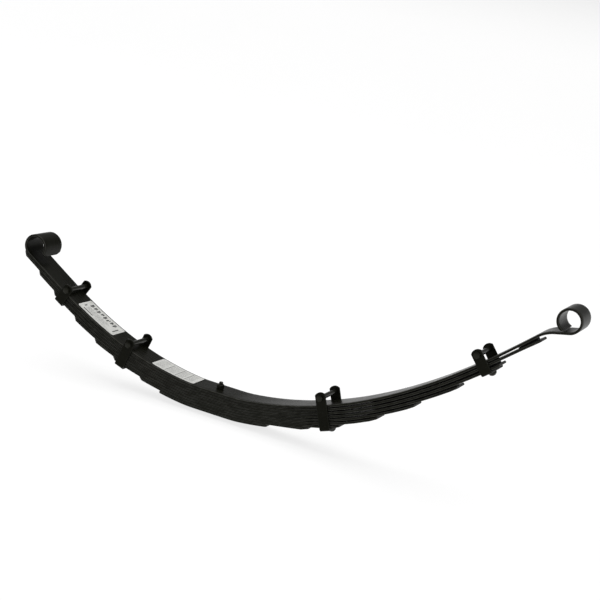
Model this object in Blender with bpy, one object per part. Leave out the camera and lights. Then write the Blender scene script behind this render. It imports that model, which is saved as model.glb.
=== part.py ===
"""Leaf spring for a four-wheel-drive vehicle.

Nine leaves, the longest with an eye rolled at each end, liners between the rear halves, four bolted rebound
clips, a centre bolt and two stickers.
Metres, +Z up. X runs along the spring, with the upturned eye at -X and the eye in line with its leaf at +X.
Y runs along the eyes. The origin is the middle of the locating head's lower face.
"""
import math

import bmesh
import bpy
import numpy as np
from mathutils import Matrix, Vector

# Leaves
LEAF_WIDTH = 0.070
LEAF_THICK = 0.0056
LEAF_EDGE = 0.0012
TOUCH_GAP = 0.0003
TIP_CROP = 0.012
BOTTOM_TIP_CROP = 0.003
LEAF_NAMES = ("main_leaf", "second_leaf", "third_leaf", "fourth_leaf", "fifth_leaf",
              "sixth_leaf", "seventh_leaf", "eighth_leaf", "bottom_leaf")
FRONT_TIPS = (None, -0.543, -0.494, -0.443, -0.375, -0.312, -0.257, -0.184, -0.125)
REAR_TIPS = (None, 0.685, 0.6090, 0.528, 0.442, 0.366, 0.287, 0.221, 0.1315)
STATION_STEP = 0.030
SEAT_STEP = 0.010

# Camber: a parabola with a flat seat in the middle and straight ends
CAMBER = 0.697
SEAT_HALF = 0.035
SEAT_RUN = 0.040
FRONT_STRAIGHT = 0.430
REAR_STRAIGHT = 0.657
STRAIGHT_EASE = 0.060

# Daylight between leaves: none at the seat, most in the outer thirds, and growing further at the rear
FRONT_DAYLIGHT = 0.0010
REAR_DAYLIGHT = 0.0023
REAR_GROWTH = 0.003
DAYLIGHT_START = 0.120
DAYLIGHT_FULL = 0.340
# The outer rear clip draws the second leaf up to the main leaf, and past it the second leaf's end stands off
PINCH_START = 0.450
SPREAD_START = 0.587
PINCHED_GAP = 0.0024
REAR_SPREAD = 0.0034

# Liners in the gaps of the rear half, and a pad at the second leaf's end: name, leaf below, start and end
PADS = (("second_leaf_liner", 1, 0.360, 0.598),
        ("second_leaf_pad", 1, 0.648, 0.676),
        ("third_leaf_liner", 2, 0.360, 0.602),
        ("fourth_leaf_liner", 3, 0.360, 0.520),
        ("fifth_leaf_liner", 4, 0.345, 0.434),
        ("sixth_leaf_liner", 5, 0.300, 0.358))
PAD_WIDTH = 0.044
PAD_RINGS = 14

# Eyes of the main leaf. The front one opens a little towards its lip, which is straight.
EYE_RADIUS = 0.0277
EYE_STEP = math.radians(12)
FRONT_EYE_X = -0.518
FRONT_OPENING = 0.003
FRONT_OPENING_START = math.radians(80)
FRONT_LIP_ANGLE = math.radians(-10)
FRONT_LIP = 0.0145
FRONT_LIP_CROP = 0.006
REAR_BEND_X = 0.685
REAR_BEND_RADIUS = 0.070
NECK_ANGLE = math.radians(12)
NECK_LENGTH = 0.0305
REAR_CURL_END = math.radians(236)
REAR_CURL_SCARF = math.radians(17)

# Centre bolt and nut
BOLT_RADIUS = 0.005
HEAD_RADIUS = 0.0085
HEAD_HEIGHT = 0.009
CHAMFER = 0.001
NUT_HEIGHT = 0.010
NUT_ACROSS = 0.016
BOLT_ABOVE = 0.016
SPOT_DEPTH = 0.0003
SPOT_MARGIN = 0.001
FIT = 0.0003

# Rebound clips
STRAP_WIDTH = 0.024
STRAP_THICK = 0.0045
STRAP_NEAR_GAP = 0.0006
STRAP_FAR_GAP = 0.0056
STRAP_BEND = 0.002
# The top of an ear is an arc about a point below the clip's bolt
EAR_RADIUS = 0.015
EAR_DROP = 0.0025
EAR_TOP_ANGLE = math.radians(86)
CLIP_BOLT_RADIUS = 0.004
CLIP_HEAD_ACROSS = 0.013
CLIP_HEAD_HEIGHT = 0.0055
CLIP_NUT_HEIGHT = 0.0065
CLIP_BOLT_END = 0.003
SPACER_RADIUS = 0.0055
RIVET_RADIUS = 0.004
RIVET_HEAD_RADIUS = 0.009
RIVET_HEAD_HEIGHT = 0.0075
# name, place along the spring, number of leaves inside, height of the bolt above the main leaf
CLIPS = (("front_outer", -0.415, 4, 0.010),
         ("front_inner", -0.230, 7, 0.012),
         ("rear_inner", 0.262, 7, 0.017),
         ("rear_outer", 0.587, 3, 0.017))

# Stickers on the main leaf
STICKER_WIDTH = 0.058
STICKER_THICK = 0.0003
STICKERS = (("data_sticker", -0.382, -0.279), ("rating_sticker", -0.167, -0.055))

# Fineness of the curved shapes
ROUND_SIDES = 24
REVERSE_BEND_RINGS = 7
EAR_POINTS = 5
BEND_POINTS = 4
DOME_POINTS = 5
STICKER_RINGS = 6
SMOOTH_ANGLE = math.radians(30)
# Size of a hexagon's corner chamfer, as a share of corner height over flat height
HEX_CHAMFER = 0.6

HALF = LEAF_WIDTH / 2
# Half of the room between a strap's legs, and how far their middle lies towards +Y
STRAP_INSIDE = HALF + (STRAP_NEAR_GAP + STRAP_FAR_GAP) / 2
STRAP_SHIFT = (STRAP_FAR_GAP - STRAP_NEAR_GAP) / 2
PACK_DEPTH = len(LEAF_NAMES) * (LEAF_THICK + TOUCH_GAP) - TOUCH_GAP
# Height of the main leaf's upper face at the seat
TOP = HEAD_HEIGHT + TOUCH_GAP + PACK_DEPTH


def smooth(t):
    """Ease from 0 to 1 as t goes from 0 to 1."""
    t = min(max(t, 0.0), 1.0)
    return t * t * (3 - 2 * t)


def slope(x):
    """Slope of the main leaf's upper face."""
    limit = FRONT_STRAIGHT if x < 0 else REAR_STRAIGHT
    reach = abs(x)
    over = reach - (limit - STRAIGHT_EASE)
    if over > 2 * STRAIGHT_EASE:
        reach = limit
    elif over > 0:
        reach -= over * over / (4 * STRAIGHT_EASE)
    seat = smooth((abs(x) - SEAT_HALF) / SEAT_RUN)
    return math.copysign(2 * CAMBER * reach * seat, x)


GRID = np.arange(-0.600, 0.7501, 0.001)
SLOPES = np.array([slope(x) for x in GRID])
HEIGHTS = np.concatenate([[0.0], np.cumsum((SLOPES[1:] + SLOPES[:-1]) / 2 * np.diff(GRID))])
HEIGHTS += TOP - np.interp(0.0, GRID, HEIGHTS)


def face_point(x):
    """Point on the main leaf's upper face at x."""
    return Vector((x, 0, float(np.interp(x, GRID, HEIGHTS))))


def face_normal(x):
    return Vector((-slope(x), 0, 1)).normalized()


def daylight(x):
    """Gap between neighbouring leaves at x."""
    out = smooth((abs(x) - DAYLIGHT_START) / (DAYLIGHT_FULL - DAYLIGHT_START))
    if x < 0:
        return TOUCH_GAP + FRONT_DAYLIGHT * out
    return TOUCH_GAP + REAR_DAYLIGHT * out + REAR_GROWTH * max(x - DAYLIGHT_FULL, 0)


def leaf_depth(index, x):
    """Depth of leaf `index`'s upper face below the main leaf's upper face."""
    gap = daylight(x)
    if index == 1 and x > PINCH_START:
        gap += (PINCHED_GAP - gap) * smooth((x - PINCH_START) / (SPREAD_START - PINCH_START))
        gap += REAR_SPREAD * (max(x - SPREAD_START, 0) / (REAR_TIPS[1] - SPREAD_START)) ** 3
    return index * (LEAF_THICK + gap)


def clip_frame(x):
    """Axes of a clip at x: X along the leaf, Z square to it, origin on the main leaf's upper face."""
    up = face_normal(x)
    along = Vector((up.z, 0, -up.x))
    frame = Matrix((along, (0, 1, 0), up)).transposed().to_4x4()
    frame.translation = face_point(x)
    return frame


def material(name, colour, roughness, metallic):
    made = bpy.data.materials.new(name)
    made.use_nodes = True
    shader = made.node_tree.nodes["Principled BSDF"]
    shader.inputs["Base Color"].default_value = (*colour, 1)
    shader.inputs["Roughness"].default_value = roughness
    shader.inputs["Metallic"].default_value = metallic
    made.diffuse_color = (*colour, 1)
    return made


def add_piece(name, shape, colour, roughness, metallic):
    """Turn a bmesh into an object with a material of its own, its faces outward."""
    bmesh.ops.recalc_face_normals(shape, faces=shape.faces)
    mesh = bpy.data.meshes.new(name)
    shape.to_mesh(mesh)
    shape.free()
    piece = bpy.data.objects.new(name, mesh)
    bpy.context.collection.objects.link(piece)
    mesh.materials.append(material(name + "_mat", colour, roughness, metallic))
    mesh.shade_smooth()
    mesh.set_sharp_from_angle(angle=SMOOTH_ANGLE)
    return piece


def steel(name, shape):
    return add_piece(name, shape, (0.02, 0.02, 0.018), 0.42, 0.0)


def loft(rings):
    """Closed solid through rings of points, with a flat cap at each end."""
    shape = bmesh.new()
    rows = [[shape.verts.new(point) for point in ring] for ring in rings]
    for row, following in zip(rows, rows[1:]):
        for side in range(len(row)):
            other = (side + 1) % len(row)
            shape.faces.new((row[side], row[other], following[other], following[side]))
    shape.faces.new(rows[0])
    shape.faces.new(rows[-1])
    return shape


def lathe(profile):
    """Solid turned about Z through (radius, height) points; a profile off the axis closes on itself."""
    solid = profile[0][0] == 0
    shape = bmesh.new()
    turns = [Matrix.Rotation(2 * math.pi * i / ROUND_SIDES, 3, "Z") for i in range(ROUND_SIDES)]
    columns = []
    for turn in turns:
        columns.append([shape.verts.new(turn @ Vector((r, 0, z))) for r, z in profile])
    steps = len(profile) if not solid else len(profile) - 1
    for column, following in zip(columns, columns[1:] + columns[:1]):
        for i in range(steps):
            j = (i + 1) % len(profile)
            shape.faces.new((column[i], following[i], following[j], column[j]))
    bmesh.ops.remove_doubles(shape, verts=shape.verts, dist=1e-6)
    return shape


def hexagon(across, low, high):
    """Hexagonal prism about Z with chamfered corners at both ends."""
    flat = across / 2
    corner = flat / math.cos(math.pi / 6)
    trim = (corner - flat) * HEX_CHAMFER

    def ring(radius, height):
        angles = [math.pi / 3 * i for i in range(6)]
        return [Vector((radius * math.cos(a), radius * math.sin(a), height)) for a in angles]

    heights = ((corner - trim, low), (corner, low + trim), (corner, high - trim), (corner - trim, high))
    return loft([ring(radius, height) for radius, height in heights])


def guide_cylinder(name, radius, low, high, frame):
    """Hidden cylinder along the frame's Z, for a hole or a shank."""
    shape = lathe(((0, low), (radius, low), (radius, high), (0, high)))
    shape.transform(frame)
    bmesh.ops.recalc_face_normals(shape, faces=shape.faces)
    mesh = bpy.data.meshes.new(name)
    shape.to_mesh(mesh)
    shape.free()
    guide = bpy.data.objects.new(name, mesh)
    bpy.context.collection.objects.link(guide)
    guide.hide_render = True
    guide.display_type = "WIRE"
    return guide


def combine(piece, guide, operation):
    step = piece.modifiers.new(guide.name, "BOOLEAN")
    step.operation = operation
    step.object = guide


def leaf_ring(upper, lower, half_width):
    """Cross-section of a leaf between an upper and a lower point, its four edges bevelled."""
    rise = (upper - lower).normalized() * LEAF_EDGE
    inset = Vector((0, LEAF_EDGE, 0))
    side = Vector((0, half_width, 0))
    return [upper - side + inset, upper + side - inset, upper + side - rise, lower + side + rise,
            lower + side - inset, lower - side + inset, lower - side + rise, upper - side - rise]


def turned(centre, radius, angle):
    return centre + radius * Vector((math.cos(angle), 0, math.sin(angle)))


def stations(start, end):
    """Places along the leaf from start to end, with the flat seat as one stretch."""
    curve_start = SEAT_HALF + SEAT_RUN
    eased = np.arange(SEAT_HALF, curve_start + SEAT_STEP / 2, SEAT_STEP)
    curved = np.arange(curve_start + STATION_STEP, GRID[-1], STATION_STEP)
    side = np.concatenate([eased, curved])
    places = np.concatenate([-side[::-1], side])
    clear = STATION_STEP / 4
    inside = [float(x) for x in places if start + clear < x < end - clear]
    return [start] + inside + [end]


def front_eye_rings():
    """Upturned eye, from the cropped end of its lip back to where it leaves the leaf's line."""
    inner = EYE_RADIUS - LEAF_THICK
    up = face_normal(-FRONT_STRAIGHT - STRAIGHT_EASE)
    start_x = FRONT_EYE_X - up.x * inner
    centre = face_point(start_x) + up * inner
    first = math.atan2(-up.z, -up.x) + 2 * math.pi
    made = []
    lip_way = turned(Vector(), 1, FRONT_LIP_ANGLE - math.pi / 2)
    for reach, half_width in ((FRONT_LIP, HALF - TIP_CROP), (FRONT_LIP - FRONT_LIP_CROP, HALF)):
        start = centre + lip_way * reach
        made.append(leaf_ring(turned(start, inner + FRONT_OPENING, FRONT_LIP_ANGLE),
                              turned(start, EYE_RADIUS + FRONT_OPENING, FRONT_LIP_ANGLE), half_width))
    count = math.ceil((first - FRONT_LIP_ANGLE) / EYE_STEP)
    for angle in np.linspace(FRONT_LIP_ANGLE, first, count + 1).tolist():
        share = (FRONT_OPENING_START - angle) / (FRONT_OPENING_START - FRONT_LIP_ANGLE)
        opening = FRONT_OPENING * smooth(share)
        made.append(leaf_ring(turned(centre, inner + opening, angle),
                              turned(centre, EYE_RADIUS + opening, angle), HALF))
    return made, start_x


def rear_eye_rings():
    """Reverse bend, neck and eye, from the end of the leaf's line to the curl's scarfed end."""
    up = face_normal(REAR_BEND_X)
    first = math.atan2(up.z, up.x)
    pivot = face_point(REAR_BEND_X) - up * (LEAF_THICK + REAR_BEND_RADIUS)
    last = NECK_ANGLE + math.pi / 2
    made = []
    for angle in np.linspace(first, last, REVERSE_BEND_RINGS):
        upper = turned(pivot, REAR_BEND_RADIUS + LEAF_THICK, angle)
        made.append(leaf_ring(upper, turned(pivot, REAR_BEND_RADIUS, angle), HALF))
    inner = EYE_RADIUS - LEAF_THICK
    neck = Vector((math.cos(NECK_ANGLE), 0, math.sin(NECK_ANGLE))) * NECK_LENGTH
    centre = turned(pivot, REAR_BEND_RADIUS, last) + neck + turned(Vector(), EYE_RADIUS, last)
    begin = NECK_ANGLE - math.pi / 2
    count = math.ceil((REAR_CURL_END - begin) / EYE_STEP)
    for angle in np.linspace(begin, REAR_CURL_END, count + 1):
        made.append(leaf_ring(turned(centre, inner, angle), turned(centre, EYE_RADIUS, angle), HALF))
    scarf = REAR_CURL_END + REAR_CURL_SCARF
    made[-1] = leaf_ring(turned(centre, inner, scarf), turned(centre, EYE_RADIUS, REAR_CURL_END), HALF)
    return made


def build_leaf(index):
    """One leaf: its line follows the camber, and the main leaf goes on into its eyes."""
    crop = BOTTOM_TIP_CROP if index == len(LEAF_NAMES) - 1 else TIP_CROP
    if index == 0:
        front, start = front_eye_rings()
        rear = rear_eye_rings()
        places = stations(start, REAR_BEND_X)[1:-1]
    else:
        front, rear = [], []
        start, end = FRONT_TIPS[index], REAR_TIPS[index]
        inner = stations(start + crop, end - crop)
        places = [start] + inner + [end]
    middle = []
    for place, x in enumerate(places):
        at_tip = index > 0 and place in (0, len(places) - 1)
        upper = face_point(x) - face_normal(x) * leaf_depth(index, x)
        half_width = HALF - crop if at_tip else HALF
        middle.append(leaf_ring(upper, upper - face_normal(x) * LEAF_THICK, half_width))
    return steel(LEAF_NAMES[index], loft(front + middle + rear))


def build_pad(name, index, start, end):
    """Liner or pad lying on leaf `index`, as thick as the gap above it."""
    side = Vector((0, PAD_WIDTH / 2, 0))
    rings = []
    for x in np.linspace(start, end, PAD_RINGS):
        down = -face_normal(x)
        high = face_point(x) + down * (leaf_depth(index - 1, x) + LEAF_THICK + TOUCH_GAP)
        low = face_point(x) + down * (leaf_depth(index, x) - TOUCH_GAP)
        rings.append([low - side, low + side, high + side, high - side])
    add_piece(name, loft(rings), (0.012, 0.012, 0.012), 0.75, 0.0)


def drill_leaves(leaves):
    """Centre hole through every leaf, with a shallow spot face under the nut and one over the bolt's head."""
    hole = guide_cylinder("centre_hole", BOLT_RADIUS + FIT, 0, TOP + BOLT_ABOVE, Matrix())
    for leaf in leaves:
        combine(leaf, hole, "DIFFERENCE")
    nut_reach = NUT_ACROSS / 2 / math.cos(math.pi / 6) + SPOT_MARGIN
    nut_spot = guide_cylinder("nut_spot", nut_reach, TOP - SPOT_DEPTH, TOP + NUT_HEIGHT, Matrix())
    combine(leaves[0], nut_spot, "DIFFERENCE")
    seat = HEAD_HEIGHT + TOUCH_GAP + SPOT_DEPTH
    head_spot = guide_cylinder("head_spot", HEAD_RADIUS + SPOT_MARGIN, 0, seat, Matrix())
    combine(leaves[-1], head_spot, "DIFFERENCE")


def build_centre_bolt():
    """Bolt with a cylindrical locating head under the pack, and its nut on the main leaf."""
    end = TOP + BOLT_ABOVE
    bolt = lathe(((0, 0), (HEAD_RADIUS - CHAMFER, 0), (HEAD_RADIUS, CHAMFER), (HEAD_RADIUS, HEAD_HEIGHT),
                  (BOLT_RADIUS, HEAD_HEIGHT), (BOLT_RADIUS, end - CHAMFER), (BOLT_RADIUS - CHAMFER, end),
                  (0, end)))
    steel("centre_bolt", bolt)
    nut = hexagon(NUT_ACROSS, TOP + TOUCH_GAP, TOP + TOUCH_GAP + NUT_HEIGHT)
    nut_piece = steel("centre_nut", nut)
    bore = guide_cylinder("nut_bore", BOLT_RADIUS + FIT, TOP - FIT, TOP + 2 * NUT_HEIGHT, Matrix())
    combine(nut_piece, bore, "DIFFERENCE")


def strap_path(depth, ear_height):
    """Middle line of a strap in its (side, height) plane: down one leg, across and up the other."""
    reach = STRAP_INSIDE + STRAP_THICK / 2
    bend = STRAP_BEND + STRAP_THICK / 2
    low = -depth - STRAP_THICK / 2
    path = []
    half = STRAP_WIDTH / 2
    for angle in np.linspace(EAR_TOP_ANGLE, math.acos(half / EAR_RADIUS), EAR_POINTS + 1):
        height = ear_height - EAR_DROP + EAR_RADIUS * math.sin(angle)
        path.append((-reach, height, EAR_RADIUS * math.cos(angle)))
    for angle in np.linspace(math.pi, 1.5 * math.pi, BEND_POINTS):
        path.append((-reach + bend + bend * math.cos(angle), low + bend + bend * math.sin(angle), half))
    mirrored = [(-y, z, half_width) for y, z, half_width in reversed(path)]
    return path + mirrored


def build_strap(depth, ear_height):
    """U-shaped strap round the leaves, with rounded ears above the main leaf."""
    path = strap_path(depth, ear_height)
    points = [Vector((0, y, z)) for y, z, _ in path]
    rings = []
    for i, (_, _, half_width) in enumerate(path):
        before = points[max(i - 1, 0)]
        after = points[min(i + 1, len(points) - 1)]
        run = (after - before).normalized()
        out = Vector((0, -run.z, run.y)) * STRAP_THICK / 2
        side = Vector((half_width, 0, 0))
        rings.append([points[i] - out - side, points[i] + out - side, points[i] + out + side,
                      points[i] - out + side])
    return loft(rings)


def build_clip(name, x, leaves, bolt_height):
    """Rebound clip: strap, rivet, bolt, nut and spacer tube, and the rivet's hole in its leaf."""
    frame = clip_frame(x)
    half = STRAP_WIDTH / 2
    reach = [leaf_depth(leaves - 1, x + step) + LEAF_THICK for step in (-half, 0, half)]
    depth = max(reach) + TOUCH_GAP
    strap_frame = frame @ Matrix.Translation((0, STRAP_SHIFT, 0))
    bolt_place = Matrix.Translation((0, 0, bolt_height))
    across = strap_frame @ bolt_place @ Matrix.Rotation(math.pi / 2, 4, "X")

    strap_shape = build_strap(depth, bolt_height)
    strap_shape.transform(strap_frame)
    strap = steel(name + "_clip_strap", strap_shape)
    outside = STRAP_INSIDE + STRAP_THICK + TOUCH_GAP
    wide = outside + STRAP_THICK
    bolt_hole = guide_cylinder(name + "_bolt_hole", CLIP_BOLT_RADIUS + FIT, -wide, wide, across)
    combine(strap, bolt_hole, "DIFFERENCE")

    rivet_top = -leaf_depth(leaves - 1, x)
    seat = -depth - STRAP_THICK - TOUCH_GAP
    low = seat - RIVET_HEAD_HEIGHT
    rivet_hole = guide_cylinder(name + "_rivet_hole", RIVET_RADIUS + FIT, low, rivet_top + FIT / 2, frame)
    combine(strap, rivet_hole, "DIFFERENCE")
    combine(bpy.data.objects[LEAF_NAMES[leaves - 1]], rivet_hole, "DIFFERENCE")
    dome = [(RIVET_HEAD_RADIUS * math.sin(a), seat - RIVET_HEAD_HEIGHT * math.cos(a))
            for a in np.linspace(0, math.pi / 2, DOME_POINTS)]
    rivet_shape = lathe(dome + [(RIVET_RADIUS, seat), (RIVET_RADIUS, rivet_top), (0, rivet_top)])
    rivet_shape.transform(frame)
    steel(name + "_clip_rivet", rivet_shape)

    head = hexagon(CLIP_HEAD_ACROSS, outside, outside + CLIP_HEAD_HEIGHT)
    head.transform(across)
    bolt = steel(name + "_clip_bolt", head)
    nut_end = -outside - CLIP_NUT_HEIGHT
    shank = guide_cylinder(name + "_bolt_shank", CLIP_BOLT_RADIUS, nut_end - CLIP_BOLT_END,
                           outside + CLIP_HEAD_HEIGHT / 2, across)
    combine(bolt, shank, "UNION")
    nut_shape = hexagon(CLIP_HEAD_ACROSS, nut_end, -outside)
    nut_shape.transform(across)
    nut = steel(name + "_clip_nut", nut_shape)
    nut_bore = guide_cylinder(name + "_nut_bore", CLIP_BOLT_RADIUS + FIT, nut_end - FIT, -STRAP_INSIDE, across)
    combine(nut, nut_bore, "DIFFERENCE")

    bore = CLIP_BOLT_RADIUS + FIT
    end = STRAP_INSIDE - TOUCH_GAP
    tube = lathe(((bore, -end), (SPACER_RADIUS, -end), (SPACER_RADIUS, end), (bore, end)))
    tube.transform(across)
    steel(name + "_clip_spacer", tube)


def build_sticker(name, start, end):
    """Thin label that follows the main leaf's upper face."""
    half_width = STICKER_WIDTH / 2
    rings = []
    for x in np.linspace(start, end, STICKER_RINGS):
        low = face_point(x) + face_normal(x) * TOUCH_GAP
        high = low + face_normal(x) * STICKER_THICK
        side = Vector((0, half_width, 0))
        rings.append([low - side, low + side, high + side, high - side])
    add_piece(name, loft(rings), (0.62, 0.64, 0.64), 0.5, 0.0)


def build():
    for thing in list(bpy.data.objects):
        bpy.data.objects.remove(thing, do_unlink=True)
    leaves = [build_leaf(index) for index in range(len(LEAF_NAMES))]
    drill_leaves(leaves)
    for pad in PADS:
        build_pad(*pad)
    build_centre_bolt()
    for clip in CLIPS:
        build_clip(*clip)
    for sticker in STICKERS:
        build_sticker(*sticker)


build()
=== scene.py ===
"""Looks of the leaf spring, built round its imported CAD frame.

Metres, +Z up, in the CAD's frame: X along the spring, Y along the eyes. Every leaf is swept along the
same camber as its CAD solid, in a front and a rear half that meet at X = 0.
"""
import math
import random

import bmesh
import bpy
import numpy as np
from mathutils import Matrix, Vector


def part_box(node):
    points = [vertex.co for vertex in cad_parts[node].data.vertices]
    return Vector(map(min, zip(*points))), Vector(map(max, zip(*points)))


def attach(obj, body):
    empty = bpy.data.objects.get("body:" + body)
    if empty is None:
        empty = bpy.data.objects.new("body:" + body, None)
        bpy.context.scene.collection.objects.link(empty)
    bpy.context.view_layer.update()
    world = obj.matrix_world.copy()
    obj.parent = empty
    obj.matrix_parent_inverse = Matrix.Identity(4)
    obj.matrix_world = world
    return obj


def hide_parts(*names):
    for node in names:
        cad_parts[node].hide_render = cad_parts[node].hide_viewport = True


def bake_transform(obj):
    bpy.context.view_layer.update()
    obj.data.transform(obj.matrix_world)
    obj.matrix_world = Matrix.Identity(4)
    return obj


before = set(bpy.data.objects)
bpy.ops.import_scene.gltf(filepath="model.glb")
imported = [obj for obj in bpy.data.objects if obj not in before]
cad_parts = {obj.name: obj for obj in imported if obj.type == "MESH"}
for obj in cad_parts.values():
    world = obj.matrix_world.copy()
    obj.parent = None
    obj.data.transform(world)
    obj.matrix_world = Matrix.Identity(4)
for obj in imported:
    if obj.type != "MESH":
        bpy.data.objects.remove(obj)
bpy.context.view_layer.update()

# Leaves
LEAF_NAMES = ("main_leaf", "second_leaf", "third_leaf", "fourth_leaf", "fifth_leaf",
              "sixth_leaf", "seventh_leaf", "eighth_leaf", "bottom_leaf")
# Where each leaf ends, measured along the main leaf's upper face
FRONT_TIPS = (None, -0.543, -0.494, -0.443, -0.375, -0.312, -0.257, -0.184, -0.125)
REAR_TIPS = (None, 0.685, 0.6090, 0.528, 0.442, 0.366, 0.287, 0.221, 0.1315)
LEAF_THICK = 0.0056
TOUCH_GAP = 0.0003
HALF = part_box("second_leaf")[1].y
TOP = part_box("bottom_leaf")[0].z + len(LEAF_NAMES) * (LEAF_THICK + TOUCH_GAP) - TOUCH_GAP
TIP_CROP = 0.012
BOTTOM_TIP_CROP = 0.003
EDGE_ROUND = 0.0021
STATION_STEP = 0.006

# Camber, as in the CAD: a parabola with a flat seat and straight ends
CAMBER = 0.697
SEAT_HALF = 0.035
SEAT_RUN = 0.040
FRONT_STRAIGHT = 0.430
REAR_STRAIGHT = 0.657
STRAIGHT_EASE = 0.060

# Daylight between leaves, as in the CAD: the outer rear clip draws the second leaf closer to the main leaf
FRONT_DAYLIGHT = 0.0010
REAR_DAYLIGHT = 0.0023
REAR_GROWTH = 0.003
DAYLIGHT_START = 0.120
DAYLIGHT_FULL = 0.340
PINCH_START = 0.450
SPREAD_START = 0.587
PINCHED_GAP = 0.0024
REAR_SPREAD = 0.0034

# Liners between the rear halves, dark rubber sheets that fill the gaps with painted shade, and a pad at the
# second leaf's end: name, leaf below, start and end
PADS = (("second_leaf_liner", 1, 0.360, 0.598),
        ("second_leaf_pad", 1, 0.648, 0.676),
        ("third_leaf_liner", 2, 0.360, 0.602),
        ("fourth_leaf_liner", 3, 0.360, 0.520),
        ("fifth_leaf_liner", 4, 0.345, 0.434),
        ("sixth_leaf_liner", 5, 0.300, 0.358))
PAD_WIDTH = 0.044

# Eyes of the main leaf
EYE_RADIUS = 0.0277
EYE_STEP = math.radians(5)
FRONT_EYE_X = -0.518
FRONT_OPENING = 0.003
FRONT_OPENING_START = math.radians(80)
FRONT_LIP_ANGLE = math.radians(-10)
FRONT_LIP = 0.0145
FRONT_LIP_CROP = 0.006
REAR_BEND_X = 0.685
REAR_BEND_RADIUS = 0.070
NECK_ANGLE = math.radians(12)
NECK_LENGTH = 0.0305
REAR_CURL_END = math.radians(236)
REAR_CURL_SCARF = math.radians(17)

# Clips: name, place along the spring, leaves inside, height of the bolt above the main leaf
CLIPS = (("front_outer", -0.415, 4, 0.010),
         ("front_inner", -0.230, 7, 0.012),
         ("rear_inner", 0.262, 7, 0.017),
         ("rear_outer", 0.587, 3, 0.017))
STRAP_WIDTH = 0.024
STRAP_THICK = 0.0045
STRAP_NEAR_GAP = 0.0006
STRAP_FAR_GAP = 0.0056
# Half of the room between a strap's legs, and how far their middle lies towards +Y
STRAP_INSIDE = HALF + (STRAP_NEAR_GAP + STRAP_FAR_GAP) / 2
STRAP_SHIFT = (STRAP_FAR_GAP - STRAP_NEAR_GAP) / 2
STRAP_BEND = 0.002
# Room under the lowest leaf, beyond the CAD's, so that the strap stays clear of it as the leaves bend
BEND_ROOM = 0.0005
STRAP_ROUND = 0.0009
EAR_RADIUS = 0.015
EAR_DROP = 0.0025
CLIP_BOLT_RADIUS = 0.004
CLIP_HEAD_ACROSS = 0.013
CLIP_HEAD_HEIGHT = 0.0055
CLIP_NUT_HEIGHT = 0.0065
CLIP_BOLT_END = 0.003
SPACER_RADIUS = 0.0055
RIVET_RADIUS = 0.004
RIVET_HEAD_RADIUS = 0.009
RIVET_HEAD_HEIGHT = 0.0075

# Centre bolt
BOLT_RADIUS = 0.005
BOLT_PITCH = 0.0015
CLIP_BOLT_PITCH = 0.00125
HEAD_RADIUS = 0.0085
HEAD_HEIGHT = 0.009
NUT_HEIGHT = 0.010
NUT_ACROSS = 0.016
BOLT_ABOVE = 0.016
FIT = 0.0003

# Paint colours, linear
PAINT = (0.0042, 0.0043, 0.0027)
PAINT_THIN = (0.0060, 0.0061, 0.0041)
PAINT_DUST = (0.0120, 0.0121, 0.0096)
PAINT_SPECK = (0.0260, 0.0260, 0.0220)
# Lighter colour of worn edges, used also as a painted highlight along the rounded edges
PAINT_WORN_HIGHLIGHT = (0.0600, 0.0600, 0.0540)
PAINT_SHEEN_TINT = (1.0, 1.0, 0.86)
RUBBER = (0.006, 0.006, 0.006)
RUBBER_DUST = (0.022, 0.022, 0.020)
LABEL_FILM = (0.60, 0.60, 0.575)
LABEL_INK = (0.022, 0.022, 0.021)
LABEL_GREY_INK = (0.30, 0.30, 0.29)

# Stage and view
FLOOR = (0.25, 0.25, 0.25)
FLOOR_GLOW = 0.78
FLOOR_NEAR_END = -8.0
FLOOR_FAR_END = 6.0
FLOOR_HALF_WIDTH = 16.0
WALL_BEND = 4.0
WALL_TOP = 9.0
WALL_SHADE = 0.28
WALL_SHADE_FROM = 0.6
WALL_SHADE_TO = 2.6
SKY = 0.50
LAMPS = (("lamp_above", (-0.15, 0.25, 1.0), 1.6, 70), ("lamp_right", (0.7, -0.4, 0.6), 0.5, 25))
VIEW_YAW, VIEW_PITCH, VIEW_ROLL = 0.380, 0.219, 0.194
VIEW_TARGET = (0.1769, 0.0, 0.3278)
VIEW_DISTANCE = 3.2707
VIEW_LENS = 90.2
VIEW_SHIFT = (-0.0209, -0.0067)

ROUND_SIDES = 56
SHADE_ANGLE = math.radians(32)


# ---------------------------------------------------------------- the spring's own line

def smooth(t):
    t = min(max(t, 0.0), 1.0)
    return t * t * (3 - 2 * t)


def slope(x):
    """Slope of the main leaf's upper face."""
    limit = FRONT_STRAIGHT if x < 0 else REAR_STRAIGHT
    reach = abs(x)
    over = reach - (limit - STRAIGHT_EASE)
    if over > 2 * STRAIGHT_EASE:
        reach = limit
    elif over > 0:
        reach -= over * over / (4 * STRAIGHT_EASE)
    return math.copysign(2 * CAMBER * reach * smooth((abs(x) - SEAT_HALF) / SEAT_RUN), x)


GRID = np.arange(-0.600, 0.7501, 0.001)
SLOPES = np.array([slope(x) for x in GRID])
HEIGHTS = np.concatenate([[0.0], np.cumsum((SLOPES[1:] + SLOPES[:-1]) / 2 * np.diff(GRID))])
HEIGHTS += TOP - np.interp(0.0, GRID, HEIGHTS)


def face_point(x):
    return Vector((x, 0, float(np.interp(x, GRID, HEIGHTS))))


def face_normal(x):
    return Vector((-slope(x), 0, 1)).normalized()


def daylight(x):
    """Gap between neighbouring leaves at x."""
    out = smooth((abs(x) - DAYLIGHT_START) / (DAYLIGHT_FULL - DAYLIGHT_START))
    if x < 0:
        return TOUCH_GAP + FRONT_DAYLIGHT * out
    return TOUCH_GAP + REAR_DAYLIGHT * out + REAR_GROWTH * max(x - DAYLIGHT_FULL, 0)


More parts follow.
